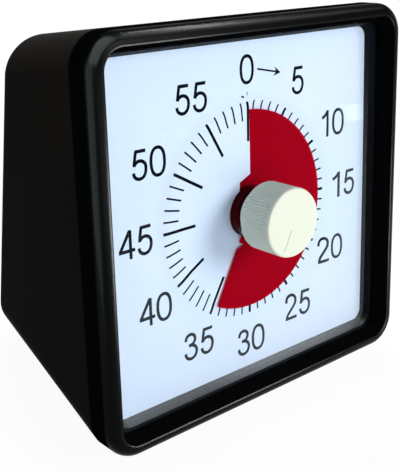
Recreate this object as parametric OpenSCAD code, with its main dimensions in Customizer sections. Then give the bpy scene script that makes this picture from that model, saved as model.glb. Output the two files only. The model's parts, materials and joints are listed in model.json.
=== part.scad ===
// Visual countdown timer: a square-faced desk timer whose red disc shows the time left.
// Millimetres. The part stands on its feet at z = 0, the dial looks towards -Y and leans back.
// Most pieces are drawn in the face frame: X to the right, Y into the case, Z up the dial,
// with its origin at the middle of the dial. at_face() stands that frame up.

/* [Face] */
// Width of the front bezel
face_w = 140; // [128:1:160]
// Height of the front bezel, measured up the face
face_h = 136; // [128:1:156]
// Radius of the bezel's outer corners
corner_r = 11.5; // [11:0.5:14]
// How far the bezel's crest stands in front of the dial
crest_d = 11.3; // [10:0.1:14]
// Rounding of the bezel's front outer edge
edge_r = 4; // [2:0.5:5]
// Width of the solid rail around the bezel
rail_w = 5.2; // [5:0.1:6]
// Width of the lip that holds the lens from the front
lip_w = 1.5; // [1:0.1:2]
// Inset of the visible dial window from the outer wall
window_inset = 8.8; // [8.5:0.1:10]
// Radius of the dial window's corners
window_r = 4.2; // [3:0.1:6]
// Lean of the face from the vertical, in degrees
lean = 14.8; // [8:0.2:20]

/* [Case] */
// Depth of the rear case behind the dial, at its top edge
case_depth = 44.5; // [42:0.5:60]
// Wall of the rear case
wall = 2.4; // [1.8:0.1:2.8]
// Draft of the case's sides, in degrees
draft = 4.6; // [3:0.2:8]
// Draft of the case's top, in degrees
top_draft = 4.6; // [2:0.2:8]
// Radius of the case's rear corners
rear_corner_r = 13.5; // [9:0.5:14]
// Rounding of the case's rear edges
rear_edge_r = 4.5; // [3:0.5:6]
// Height of the rubber feet
foot_h = 1; // [0.6:0.1:2]
// Radius of the rubber feet
foot_r = 5; // [3:0.5:7]
// Distance of the feet's middles from the bezel's sides
foot_inset = 24; // [18:1:30]
// Distance of the front feet's middles behind the lower edge of the dial
foot_front_in = 11; // [9:0.5:16]
// Distance of the rear feet's middles from the rear wall
foot_rear_in = 18; // [14:1:24]

/* [Lens and dial] */
// Thickness of the clear lens
lens_t = 1.5; // [1:0.1:2]
// Gap between the lens and the dial
lens_gap = 3.7; // [3.4:0.1:5]
// Radius of the hole in the lens, which the hub and the collar pass
lens_hole_r = 9.4; // [9.2:0.1:10]
// Thickness of the dial sheet at its border
dial_t = 1.2; // [1:0.1:1.6]
// Thickness of the dial inside the tick ring
dial_inner_t = 0.8; // [0.6:0.1:1]
// Radius of the hole in the middle of the dial
dial_hole_r = 9.4; // [9.2:0.1:10]
// Radius at which the formed middle of the dial starts to rise
form_r = 36.6; // [36.4:0.1:38]
// Radius at which it is flat again
form_out_r = 42; // [40:0.5:43.5]
// Rise of the dial and of the time disc in one turn
turn_rise = 2.4; // [2.2:0.1:2.8]

/* [Time disc] */
// Radius of the red disc
disc_r = 35.6; // [30:0.1:35.8]
// Thickness of the red disc
disc_t = 0.3; // [0.2:0.05:0.4]
// Radius of its hub
hub_r = 8.9; // [8:0.1:9]
// Radius at which the notch in the disc's leading edge starts
notch_in = 12; // [11:0.1:14]
// Width of the notch along the leading edge
notch_w = 2.4; // [1:0.1:4]
// Depth of the notch
notch_d = 2.9; // [1:0.1:4]
// Minutes that the disc shows at rest
rest_min = 34.5; // [5:0.5:55]

/* [Knob] */
// Radius of the knob over its ribs
knob_r = 12; // [10:0.2:14]
// Distance from the dial to the knob's front face
knob_front = 22; // [19:0.5:26]
// Distance from the dial to the rear of the knob's ribbed wall
knob_rear = 8; // [7.6:0.1:9]
// Number of ribs on the knob
knob_ribs = 72; // [36:6:90]
// Depth of the ribs
rib_depth = 0.3; // [0.2:0.05:0.5]
// Radius of the collar behind the knob
collar_r = 8.6; // [7:0.1:9]
// Radius of the spindle
spindle_r = 2; // [1.6:0.1:2.3]

/* [Movement] */
// Width of the movement's box
box_w = 52; // [50:1:60]
// Height of the movement's box
box_h = 60; // [59:1:66]
// Depth of the movement's box
box_d = 11; // [10.5:0.5:16]
// Gap between the dial and the chassis plate
chassis_gap = 6.8; // [6.2:0.1:9]
// Thickness of the chassis plate
chassis_t = 2; // [1.5:0.1:3]
// Module of the drive gear pair
drive_module = 0.6; // [0.5:0.05:0.65]
// Teeth of the drive gear
drive_teeth = 60; // [48:2:60]
// Teeth of the intermediate gear's wheel
wheel_teeth = 48; // [36:2:50]
// Teeth of both pinions
pinion_teeth = 12; // [10:1:14]
// Module of the wheel and rotor pair
wheel_module = 0.5; // [0.4:0.05:0.5]

/* [Battery and switch] */
// Diameter of the battery cell
cell_d = 14.2; // [10.5:0.1:14.5]
// Length of the battery cell without its tip
cell_l = 49; // [43:0.5:49.5]
// Width of the battery door
door_w = 66; // [64:1:76]
// Height of the battery door
door_h = 22; // [21:0.5:26]
// Thickness of the battery door
door_t = 1.8; // [1.4:0.1:2.2]
// Height of the battery door's middle above the case's bottom edge
door_rise = 36; // [34:1:38]
// Room in the battery bay for the contact and the spring
contact_room = 8; // [7.5:0.5:9]
// Distance of the switch and the buzzer below the rear wall's top edge
control_drop = 24; // [21:1:28]
// Travel of the sound switch
switch_travel = 4; // [3:0.5:5]
// Length of the switch's body
switch_l = 16; // [14:1:18]
// Height of the switch's body
switch_h = 8; // [7:0.5:10]
// Depth of the switch's body
switch_d = 6; // [5:0.5:8]
// Radius of the buzzer
buzzer_r = 9; // [7:0.5:11]
// Thickness of the buzzer
buzzer_t = 5.2; // [4:0.2:7]

/* [Screws] */
// Radius of the chassis screws' shanks
chassis_screw_r = 1.1; // [0.9:0.05:1.2]
// Radius of the case screws' shanks
case_screw_r = 1.4; // [1.2:0.05:1.6]
// Sideways place of the case screws
case_screw_x = 50; // [46:0.5:52]
// Up and down place of the case screws on the rear wall
case_screw_z = 40; // [36:0.5:42]

/* [Fits] */
// Clearance of pieces that slide into one another
slip = 0.2; // [0.1:0.05:0.4]
// Radial running clearance of shafts in their bores
running = 0.05; // [0.02:0.01:0.1]
// Gap kept between curved faces that move past each other
clear = 0.4; // [0.3:0.05:0.6]

/* [Hidden] */
$fn = 64;

half_w = face_w / 2;
half_h = face_h / 2;
opening_inset = rail_w + lip_w;
lens_y = -lens_gap - lens_t;
rebate_r = corner_r - rail_w;
skirt_in = wall + 1.2;                 // the bezel's skirt clears the case's drafted wall
skirt_d = dial_t + 1.2;
skirt_back = dial_t + chassis_gap;
draft_k = tan(draft);

// Rear wall: upright once the part stands, so it leans forward against the face
top_z = half_h - tan(top_draft) * case_depth;
rear_y = case_depth * cos(lean) + top_z * sin(lean);
base_z = -half_h * cos(lean);
rear_top_z = -case_depth * sin(lean) + top_z * cos(lean);

// Place of the face frame's origin once the part stands on its feet
front_y = -(crest_d - edge_r) * cos(lean) - (half_h - edge_r) * sin(lean) - edge_r;
shift_y = -(front_y + rear_y) / 2;
shift_z = -base_z + foot_h;

// Bosses on the bezel's side rails, hidden by the lens retainer
boss_r = 1.8;
boss_x = half_w - rail_w - 0.1;
boss_z = half_h / 2;
boss_y = -lens_gap + 0.7;

rest_angle = rest_min * 6;
slot_half_angle = 0.5;
disc_lift = (turn_rise - dial_inner_t) / 2;

back_y = skirt_back + chassis_t;       // rear face of the chassis plate
chassis_cap_t = 1.2;
deep_y = back_y + chassis_cap_t;       // the chassis and its screws clear the case up to here
side_in = wall + draft_k * deep_y + clear;
top_in = wall + tan(top_draft) * deep_y + clear;
low_in = wall / cos(lean) + tan(lean) * deep_y + clear;
shell_t = 1.5;
inner_y = back_y + shell_t;
cover_y = back_y + box_d;

// Gear train
drive_r = drive_module * drive_teeth / 2;
drive_pinion_r = drive_module * pinion_teeth / 2;
wheel_r = wheel_module * wheel_teeth / 2;
rotor_pinion_r = wheel_module * pinion_teeth / 2;
mid_angle = 62;
mid_dist = drive_r + drive_pinion_r;
mid_x = mid_dist * cos(mid_angle);
mid_z = mid_dist * sin(mid_angle);
rotor_dist = wheel_r + rotor_pinion_r + 2 * wheel_module;   // out of mesh: it turns by itself
rotor_x = mid_x - rotor_dist;
rotor_z = mid_z;
gear_t = 1.4;
drive_y = inner_y + 1;
wheel_y = drive_y + gear_t + 0.8;
arbor_r = 0.8;
magnet_r = 2.6;
magnet_y = wheel_y + gear_t + 0.4;
magnet_t = 2.2;

// Battery bay, low in the rear wall
door_z = base_z + door_rise;
ledge_t = 1.4;
tray_wall = 1.6;
tray_w = cell_l + contact_room;
contact_t = 0.5;
contact_w = 10;
tray_in_h = cell_d + 2 * clear;
tray_depth = cell_d + 1.2;
// Sound switch and buzzer, high on the rear wall
switch_x = 26;
switch_z = rear_top_z - control_drop;
cap_w = 6;
cap_h = 3.8;
stem_w = 3;
stem_l = 3;
buzzer_x = 26;
buzzer_z = rear_top_z - control_drop;

function rear_depth(z) = (rear_y - z * sin(lean)) / cos(lean);

// Frames ------------------------------------------------------------------

module at_case() {
  translate([0, shift_y, shift_z]) children();
}

module at_face() {
  at_case() rotate([-lean, 0, 0]) children();
}

// A plate drawn in the frame's X and Z, from depth y and t thick
module slab(y, t) {
  translate([0, y, 0]) rotate([-90, 0, 0]) linear_extrude(height = t) mirror([0, 1, 0]) children();
}

// A round bar along the face frame's depth axis
module bar(y, t, r) {
  translate([0, y, 0]) rotate([-90, 0, 0]) cylinder(h = t, r = r);
}

module at_corners(x, z) {
  for (sx = [-1, 1], sz = [-1, 1]) translate([sx * x, 0, sz * z]) children();
}

module round_rect(hx, hz, r) {
  square([2 * (hx - r), 2 * hz], center = true);
  square([2 * hx, 2 * (hz - r)], center = true);
  for (sx = [-1, 1], sz = [-1, 1]) translate([sx * (hx - r), sz * (hz - r)]) circle(r = r);
}

// Carries a section round the face, whose corners are rounded by r. The section's x is the
// distance from the corner's centre, so an inset of n lies at r - n, and its y is the depth.
module face_sweep(r) {
  rotate([-90, 0, 0]) for (k = [0:3]) {
    along_x = k % 2 == 1;
    d = (along_x ? half_h : half_w) - r;
    l = (along_x ? half_w : half_h) - r;
    rotate([0, 0, 90 * k]) {
      translate([d, l, 0]) rotate([90, 0, 0]) linear_extrude(height = 2 * l) children();
      translate([d, l, 0]) rotate_extrude(angle = 90) children();
    }
  }
}

// Case --------------------------------------------------------------------

module bezel_section() {
  r = corner_r;
  polygon([
    [r, 0], [r, -crest_d + edge_r], [r - edge_r, -crest_d], [r - edge_r - 0.6, -crest_d + 0.1],
    [r - opening_inset, lens_y], [r - rail_w, lens_y], [r - rail_w, skirt_d],
    [r - skirt_in, skirt_d], [r - skirt_in, 0]
  ]);
  translate([r - edge_r, -crest_d + edge_r]) intersection() {
    circle(r = edge_r);
    translate([0, -edge_r]) square(edge_r);
  }
}

module front_bezel() {
  color([0.03, 0.03, 0.035]) at_face() difference() {
    union() {
      face_sweep(corner_r) bezel_section();
      at_corners(boss_x, boss_z) bar(boss_y, skirt_back - boss_y, boss_r);
    }
    at_corners(boss_x, boss_z) bar(boss_y + 1, skirt_back - boss_y, chassis_screw_r - 0.15);
  }
}

module lens() {
  color([0.9, 0.95, 1, 0.3]) at_face() difference() {
    slab(lens_y, lens_t) round_rect(half_w - rail_w - slip, half_h - rail_w - slip, rebate_r - slip);
    bar(lens_y - 1, lens_t + 2, lens_hole_r);
  }
}

module retainer_section(r) {
  n = rail_w + slip;
  top = window_inset - (window_inset - opening_inset) * lens_gap / (lens_gap + lens_t);
  polygon([[r - n, -lens_gap], [r - top, -lens_gap], [r - window_inset, 0], [r - n, 0]]);
}

module lens_retainer() {
  color([0.05, 0.05, 0.055]) at_face() difference() {
    face_sweep(window_r + window_inset) retainer_section(window_r + window_inset);
    at_corners(boss_x, boss_z) bar(boss_y - slip, 1 - boss_y, boss_r + slip);
  }
}

// Height of the formed dial in front of its border, at an angle clockwise from the slot
function dial_rise(a) = turn_rise * (a / 360 - 0.5);

function ease(t) = t * t * (3 - 2 * t);

DIAL_STEPS = 72;
FORMED_BANDS = 3;
BLEND_BANDS = 6;
dial_radii = concat(
  [for (k = [0:FORMED_BANDS - 1]) dial_hole_r + (form_r - dial_hole_r) * k / FORMED_BANDS],
  [for (k = [0:BLEND_BANDS - 1]) form_r + (form_out_r - form_r) * k / BLEND_BANDS],
  [form_out_r + 0.4]
);
dial_share = concat(
  [for (k = [1:FORMED_BANDS]) 1],
  [for (k = [0:BLEND_BANDS - 1]) ease(1 - k / BLEND_BANDS)],
  [0]
);

// A sheet that climbs as it goes round: radii and their share of the rise, from angle a0 to a1
module climbing_sheet(radii, share, a0, a1, steps, t, lift) {
  n = len(radii);
  points = [
    for (i = [0:steps], side = [0:1], j = [0:n - 1])
      let (
        a = a0 + (a1 - a0) * i / steps,
        y = -(dial_rise(a) + lift) * share[j] + side * t
      )
      [radii[j] * sin(a), y, radii[j] * cos(a)]
  ];
  front = [
    for (i = [0:steps - 1], j = [0:n - 2])
      let (p = i * 2 * n + j, q = p + 2 * n)
      each [[p, p + 1, q + 1], [p, q + 1, q]]
  ];
  back = [for (f = front) [f[2] + n, f[1] + n, f[0] + n]];
  rims = [
    for (i = [0:steps - 1])
      let (p = i * 2 * n, q = p + 2 * n, m = n - 1)
      each [
        [p, q, q + n], [p, q + n, p + n],
        [p + m, p + m + n, q + m + n], [p + m, q + m + n, q + m]
      ]
  ];
  ends = [
    for (j = [0:n - 2])
      let (e = steps * 2 * n + j)
      each [
        [j, j + n, j + n + 1], [j, j + n + 1, j + 1],
        [e, e + n + 1, e + n], [e, e + 1, e + n + 1]
      ]
  ];
  polyhedron(points = points, faces = concat(front, back, rims, ends), convexity = 8);
}

module dial_plate() {
  color([0.86, 0.91, 1]) at_face() difference() {
    union() {
      slab(0, dial_t) difference() {
        round_rect(half_w - rail_w - slip, half_h - rail_w - slip, rebate_r - slip);
        circle(r = form_out_r - 0.2);
      }
      climbing_sheet(
        dial_radii, dial_share, slot_half_angle, 360 - slot_half_angle, DIAL_STEPS, dial_inner_t, 0
      );
    }
    at_corners(boss_x, boss_z) bar(-1, dial_t + 2, boss_r + slip);
    // the raised lip is cut back beside the hub
    slab(-turn_rise, 2 * turn_rise)
      polygon([[0, dial_hole_r + 4], [-5, dial_hole_r + 1.6], [-5, dial_hole_r - 3], [0, dial_hole_r - 3]]);
  }
}

// One corner of the rear wall: a disc with a rounded rim, upright in the case frame
module rear_pad(x, z, inset) {
  r = rear_corner_r - inset;
  e = rear_edge_r - inset;
  translate([x, rear_y - inset - e, z]) rotate([90, 0, 0]) rotate_extrude($fn = 56)
    translate([r - e, 0]) circle(r = e, $fn = 20);
}

// The wedge that the case fills, or its hollow when inset is the wall
module wedge(inset) {
  top_x = half_w - draft_k * case_depth;
  low_x = half_w - draft_k * rear_depth(base_z);
  r = rear_corner_r;
  hull() {
    rotate([-lean, 0, 0]) for (sx = [-1, 1], sz = [-1, 1])
      translate([sx * (half_w - corner_r), inset > 0 ? -0.5 : 0, sz * (half_h - corner_r)])
        rotate([-90, 0, 0]) cylinder(h = inset > 0 ? 0.5 : 0.01, r = corner_r - inset, $fn = 56);
    for (s = [-1, 1]) {
      rear_pad(s * (top_x - r), rear_top_z - r, inset);
      rear_pad(s * (low_x - r), base_z + r, inset);
    }
  }
}

screw_seat_y = back_y + 16;            // where the case screws' heads sit
case_boss_r = 4.6;
head_r = 2.8;
post_end_y = back_y + 8;               // the chassis posts meet the case's bosses here

module case_bosses() {
  intersection() {
    rotate([-lean, 0, 0]) at_corners(case_screw_x, case_screw_z) bar(post_end_y, 80, case_boss_r);
    wedge(wall / 2);
  }
}

module door_outline(grow) {
  round_rect(door_w / 2 + grow, door_h / 2 + grow, 2 + grow);
}

module rear_case() {
  color([0.045, 0.042, 0.042]) at_case() difference() {
    union() {
      difference() {
        wedge(0);
        wedge(wall);
      }
      case_bosses();
      // ledge that the battery door rests on
      translate([0, 0, door_z]) slab(rear_y - door_t - ledge_t, ledge_t) door_outline(3);
    }
    rotate([-lean, 0, 0]) at_corners(case_screw_x, case_screw_z) {
      bar(post_end_y - 1, 90, case_screw_r + slip);
      bar(screw_seat_y, 90, head_r + slip);
    }
    translate([0, 0, door_z]) {
      slab(rear_y - door_t, door_t + 1) door_outline(slip);
      slab(rear_y - door_t - 5, 6) square([tray_w - 2, tray_in_h], center = true);
    }
    translate([0, 0, switch_z]) slab(rear_y - wall - 1, wall + 2)
      translate([-switch_x, 0]) square([cap_w + switch_travel + 1, cap_h + 0.8], center = true);
    for (i = [-2:2], j = [-2:2]) if (i * i + j * j < 6)
      translate([buzzer_x + 3 * i, 0, buzzer_z + 3 * j]) bar(rear_y - wall - 1, wall + 2, 0.8);
  }
}

foot_x = half_w - foot_inset;
foot_front_y = -half_h * sin(lean) + foot_front_in;
foot_rear_y = rear_y - foot_rear_in;

module rubber_feet() {
  color([0.12, 0.12, 0.12]) at_case() for (sx = [-1, 1], y = [foot_front_y, foot_rear_y])
    translate([sx * foot_x, y, base_z - foot_h]) cylinder(h = foot_h - 0.01, r = foot_r);
}

// Time disc and knob -------------------------------------------------------

module time_disc() {
  color([0.66, 0.02, 0.1, 0.85]) at_face() difference() {
    translate([0, disc_t / -2, 0]) climbing_sheet(
      [hub_r + 0.02, (hub_r + disc_r) / 2, disc_r], [1, 1, 1],
      rest_angle - 360 + slot_half_angle, rest_angle, 72, disc_t, disc_lift
    );
    // notch in the leading edge, beside the hub
    rotate([0, rest_angle, 0]) slab(-4, 8) polygon([
      [1, notch_in], [-notch_d, notch_in], [0, notch_in + notch_w], [1, notch_in + notch_w]
    ]);
  }
}

hub_front = -lens_gap + clear;
hub_rear = -dial_rise(rest_angle - 360) - disc_lift + 0.35;
disc_advance = turn_rise * (1 - rest_angle / 360);   // how far the disc can come forward

module disc_hub() {
  color([0.3, 0.01, 0.04]) at_face() difference() {
    union() {
      bar(hub_front, hub_rear - hub_front, hub_r);
      bar(hub_rear - 0.01, 1.2, spindle_r + 2);
    }
    bar(hub_front - 1, hub_rear - hub_front + 4, spindle_r + running);
  }
}

knob_l = knob_front - knob_rear;
knob_cap_t = 3;                        // solid front of the knob, before the spindle's bore
knob_recess = 0.7;                     // how far the middle of its rear stands out

module knob_profile() {
  ring = knob_r - rib_depth;
  polygon([
    [0, 0], [knob_r - 0.8, 0], [knob_r - 0.25, 0.2], [knob_r, 0.8], [knob_r, 1.2], [ring, 2],
    [ring, knob_l - 0.6], [ring - 0.5, knob_l],
    [collar_r, knob_l], [collar_r, knob_l + knob_recess], [0, knob_l + knob_recess]
  ]);
}

module knob() {
  rib_l = knob_l - 2.4;
  step = 360 / knob_ribs;
  color([0.9, 0.92, 0.87]) at_face() difference() {
    union() {
      translate([0, -knob_front, 0]) rotate([-90, 0, 0]) rotate_extrude() knob_profile();
      slab(-knob_front + 1.6, rib_l) polygon([
        for (i = [0:knob_ribs - 1], k = [0:1])
          let (a = i * step + k * step / 2, r = k == 0 ? knob_r : knob_r - rib_depth - 0.05)
          [r * sin(a), r * cos(a)]
      ]);
    }
    bar(-knob_front + knob_cap_t, 30, spindle_r + running);
    // pointer line towards the disc's edge
    rotate([0, rest_angle, 0]) slab(-knob_front - 1, 1.2) translate([-0.3, 2.5]) square([0.6, 7.5]);
    // groove in the bore for a retaining clip
    bar(-knob_rear - 1.5, 1, spindle_r + 0.6);
  }
}

collar_y = -knob_rear + knob_recess;
collar_t = hub_front - disc_advance - clear - collar_y;

// Carries the knob down into the lens's hole, and stops short of the disc's hub
module knob_collar() {
  color([0.88, 0.89, 0.85]) at_face() difference() {
    translate([0, collar_y, 0]) rotate([-90, 0, 0]) rotate_extrude() polygon([
      [0, 0], [collar_r, 0], [collar_r, collar_t - 0.3], [collar_r - 0.3, collar_t], [0, collar_t]
    ]);
    bar(collar_y - 1, collar_t + 2, spindle_r + running);
  }
}

module spindle() {
  start = -knob_front + knob_cap_t + slip;
  color([0.75, 0.75, 0.77]) at_face() bar(start, cover_y - start - 0.4, spindle_r);
}

// Chassis -------------------------------------------------------------------

module chassis_plate() {
  color([0.8, 0.8, 0.78]) at_face() difference() {
    union() {
      slab(skirt_back, chassis_t) translate([0, (low_in - top_in) / 2])
        round_rect(half_w - side_in, half_h - (low_in + top_in) / 2, corner_r - 1.5);
      at_corners(case_screw_x, case_screw_z) bar(back_y - 0.01, post_end_y - back_y + 0.01, 3.4);
      bar(skirt_back - 2.4, 2.4, spindle_r + 2.2);
    }
    bar(skirt_back - 4, 9, spindle_r + running);
    at_corners(case_screw_x, case_screw_z) bar(back_y, 12, case_screw_r - 0.2);
    at_corners(boss_x, boss_z) bar(skirt_back - 1, chassis_t + 2, chassis_screw_r + slip);
    at_corners(ear_x, ear_z) bar(skirt_back - 1, chassis_t + 2, ear_screw_r + 0.05);
  }
}

// A pan-head screw with its shank towards -Y from the seat
module screw(seat_y, length, shank_r, cap_r, cap_h) {
  bar(seat_y - length, length + 0.1, shank_r);
  difference() {
    bar(seat_y, cap_h, cap_r);
    slab(seat_y + cap_h - 0.6, 1) {
      square([cap_r * 1.2, 0.5], center = true);
      square([0.5, cap_r * 1.2], center = true);
    }
  }
}

module chassis_screws() {
  color([0.7, 0.7, 0.72]) at_face() at_corners(boss_x, boss_z)
    screw(back_y, 8, chassis_screw_r - 0.17, 1.7, chassis_cap_t);
}

module case_screws() {
  color([0.2, 0.2, 0.2]) at_face() at_corners(case_screw_x, case_screw_z)
    screw(screw_seat_y, screw_seat_y - back_y - 1, case_screw_r - 0.22, head_r, 1.8);
}

// Movement ------------------------------------------------------------------

module box_outline(grow) {
  translate([0, 4]) round_rect(box_w / 2 + grow, box_h / 2 + grow, 3 + grow);
}

ear_r = 3.5;
ear_x = box_w / 2 + ear_r;
ear_z = box_h / 4;
ear_screw_r = 0.8;

module screw_ears() {
  for (sx = [-1, 1], sz = [-1, 1]) {
    translate([sx * (ear_x - ear_r / 2), sz * ear_z]) square([ear_r + 0.1, 2 * ear_r], center = true);
    translate([sx * ear_x, sz * ear_z]) circle(r = ear_r);
  }
}

board_y = back_y + box_d - 3.2;
board_w = 40;
board_h = 12;
board_z = 4 - box_h / 2 + shell_t + board_h / 2 + 0.6;
module board_posts(y, t, r) {
  for (sx = [-1, 1])
    translate([sx * (board_w / 2 - 2), 0, board_z - 3]) bar(y, t, r);
}

module movement_base() {
  color([0.92, 0.92, 0.9]) at_face() difference() {
    union() {
      slab(back_y, shell_t) {
        box_outline(0);
        screw_ears();
      }
      difference() {
        slab(back_y, box_d) box_outline(0);
        slab(inner_y, box_d) box_outline(-shell_t);
      }
      bar(inner_y - 0.01, 0.8, spindle_r + 1.5);
      translate([mid_x, 0, mid_z]) bar(inner_y - 0.01, 0.8, arbor_r + 1);
      translate([rotor_x, 0, rotor_z]) bar(inner_y - 0.01, 0.5, arbor_r + 0.8);
      board_posts(inner_y - 0.01, board_y - inner_y + 0.01, 1.2);
    }
    bar(back_y - 1, 6, spindle_r + running);
    at_corners(ear_x, ear_z) bar(back_y - 1, shell_t + 2, ear_screw_r + 0.4);
  }
}

module movement_cover() {
  color([0.9, 0.9, 0.88]) at_face() difference() {
    union() {
      slab(cover_y, shell_t) box_outline(0);
      bar(cover_y + shell_t - 0.01, 1.2, spindle_r + 1.4);
    }
    bar(cover_y - 1, 2.2, spindle_r + running);
  }
}

module movement_screws() {
  color([0.75, 0.75, 0.77]) at_face() at_corners(ear_x, ear_z)
    screw(back_y + shell_t, shell_t + chassis_t + 0.6, ear_screw_r, 1.9, 1);
}

// Involute gear: involute flanks with stub teeth and running backlash
pressure = 20;
backlash = 0.12;
function inv(a) = tan(a) * 180 / PI - a;
function flank_angle(r, base_r) = r <= base_r ? 0 : inv(acos(base_r / r));

module gear_outline(teeth, mod) {
  pitch_r = mod * teeth / 2;
  base_r = pitch_r * cos(pressure);
  tip_r = pitch_r + 0.75 * mod;
  root_r = pitch_r - 1.15 * mod;
  half = 90 / teeth - backlash * 90 / (PI * pitch_r) + inv(pressure);
  start_r = max(base_r, root_r);
  radii = [for (k = [0:3]) start_r + (tip_r - start_r) * k / 3];
  polygon([
    for (i = [0:teeth - 1])
      let (c = 360 * i / teeth)
      each concat(
        [[root_r * cos(c - half), root_r * sin(c - half)]],
        [for (s = radii) let (w = half - flank_angle(s, base_r)) [s * cos(c - w), s * sin(c - w)]],
        [
          for (k = [3:-1:0])
            let (s = radii[k], w = half - flank_angle(s, base_r))
            [s * cos(c + w), s * sin(c + w)]
        ],
        [[root_r * cos(c + half), root_r * sin(c + half)]]
      )
  ]);
}

module drive_gear() {
  color([0.93, 0.9, 0.8]) at_face() difference() {
    union() {
      slab(drive_y, gear_t) rotate(mid_angle) gear_outline(drive_teeth, drive_module);
      bar(drive_y + gear_t - 0.01, 2, spindle_r + 1.6);
    }
    bar(drive_y - 1, 8, spindle_r + running);
    slab(drive_y - 1, gear_t + 2) for (a = [0:60:300])
      rotate(a) translate([drive_r * 0.6, 0]) circle(r = 2.4);
  }
}

module intermediate_gear() {
  color([0.85, 0.88, 0.93]) at_face() translate([mid_x, 0, mid_z]) difference() {
    union() {
      slab(wheel_y, gear_t) gear_outline(wheel_teeth, wheel_module);
      slab(drive_y - 0.1, wheel_y - drive_y + 0.15)
        rotate(mid_angle + 180 + 180 / pinion_teeth) gear_outline(pinion_teeth, drive_module);
    }
    bar(drive_y - 2, 12, arbor_r + running);
  }
}

module rotor_gear() {
  color([0.85, 0.88, 0.93]) at_face() translate([rotor_x, 0, rotor_z]) difference() {
    union() {
      slab(wheel_y - 0.1, magnet_y - wheel_y + 0.1)
        rotate(180 / pinion_teeth) gear_outline(pinion_teeth, wheel_module);
      bar(magnet_y - 0.01, magnet_t + 0.4, arbor_r + 0.7);
    }
    bar(wheel_y - 2, 12, arbor_r + running);
  }
}

module rotor_magnet() {
  color([0.3, 0.3, 0.32]) at_face() translate([rotor_x, 0, rotor_z]) difference() {
    bar(magnet_y + 0.05, magnet_t, magnet_r);
    bar(magnet_y - 1, magnet_t + 3, arbor_r + 0.7 + 0.02);
  }
}

module gear_arbors() {
  color([0.75, 0.75, 0.77]) at_face() for (p = [[mid_x, mid_z], [rotor_x, rotor_z]])
    translate([p[0], 0, p[1]]) bar(inner_y + 0.8, cover_y - inner_y - 0.8, arbor_r);
}

stator_y = magnet_y + 0.5;
coil_z = rotor_z + 9;
coil_x = rotor_x - 8.5;
coil_l = 13;
stator_t = 1;
core_w = 2.4;
flange_w = 6.4;
bobbin_r = 1.9;

module stator() {
  leg_w = 3;
  left = coil_x - coil_l / 2 - leg_w;
  right = coil_x + coil_l / 2 + 0.5;
  color([0.6, 0.6, 0.62]) at_face() difference() {
    slab(stator_y, stator_t) {
      translate([left, rotor_z - 5]) square([leg_w, coil_z - rotor_z + 5]);
      translate([right, rotor_z]) square([leg_w, coil_z - rotor_z]);
      translate([left, coil_z - core_w / 2]) square([right + leg_w - left, core_w]);
      translate([left, rotor_z - 5]) square([rotor_x + 5 - left, 10]);
    }
    translate([rotor_x, 0, rotor_z]) bar(stator_y - 1, 3, magnet_r + 0.5);
  }
}

module coil_bobbin() {
  color([0.95, 0.95, 0.93]) at_face() translate([coil_x, stator_y + stator_t / 2, coil_z]) difference() {
    union() {
      for (s = [-1, 1])
        translate([s * (coil_l / 2 - 0.5), 0, 0]) cube([1, flange_w, flange_w], center = true);
      rotate([0, 90, 0]) cylinder(h = coil_l, r = bobbin_r, center = true);
    }
    cube([coil_l + 2, stator_t + 0.04, core_w + 0.04], center = true);
  }
}

module coil_winding() {
  color([0.72, 0.36, 0.16]) at_face() translate([coil_x, stator_y + stator_t / 2, coil_z])
    rotate([0, 90, 0]) difference() {
      cylinder(h = coil_l - 2.04, r = flange_w / 2 - 0.2, center = true);
      cylinder(h = coil_l, r = bobbin_r + 0.02, center = true);
    }
}

module circuit_board() {
  color([0.1, 0.4, 0.22]) at_face() difference() {
    translate([-board_w / 2, board_y, board_z - board_h / 2]) cube([board_w, 1, board_h]);
    board_posts(board_y - 1, 3, 0.5);
  }
}

module quartz_crystal() {
  color([0.8, 0.8, 0.82]) at_face() translate([-8, board_y - 1.02, board_z])
    rotate([0, 90, 0]) cylinder(h = 6, r = 1);
}

module clock_chip() {
  color([0.05, 0.05, 0.05]) at_face() translate([6, board_y - 1.2, board_z - 2]) cube([5, 1.2, 5]);
}

// Battery, buzzer and switch --------------------------------------------------

tray_back = rear_y - door_t - ledge_t;
cell_y = tray_back - clear - cell_d / 2;

module battery_tray() {
  color([0.06, 0.06, 0.06]) at_case() translate([0, 0, door_z]) difference() {
    slab(tray_back - tray_depth - tray_wall, tray_depth + tray_wall)
      square([tray_w + 2 * tray_wall, tray_in_h + 2 * tray_wall], center = true);
    slab(tray_back - tray_depth, tray_depth + 1) square([tray_w, tray_in_h], center = true);
  }
}

module contact_plate() {
  color([0.8, 0.8, 0.82]) at_case()
    translate([tray_w / 2 - 0.05 - contact_t, cell_y - contact_w / 2, door_z - contact_w / 2])
      cube([contact_t, contact_w, contact_w]);
}

spring_turns = 4;
spring_wire = 0.45;
spring_r = 3.4;
spring_l = tray_w / 2 - 1.2 - cell_l / 2 + 1.2;

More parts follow.
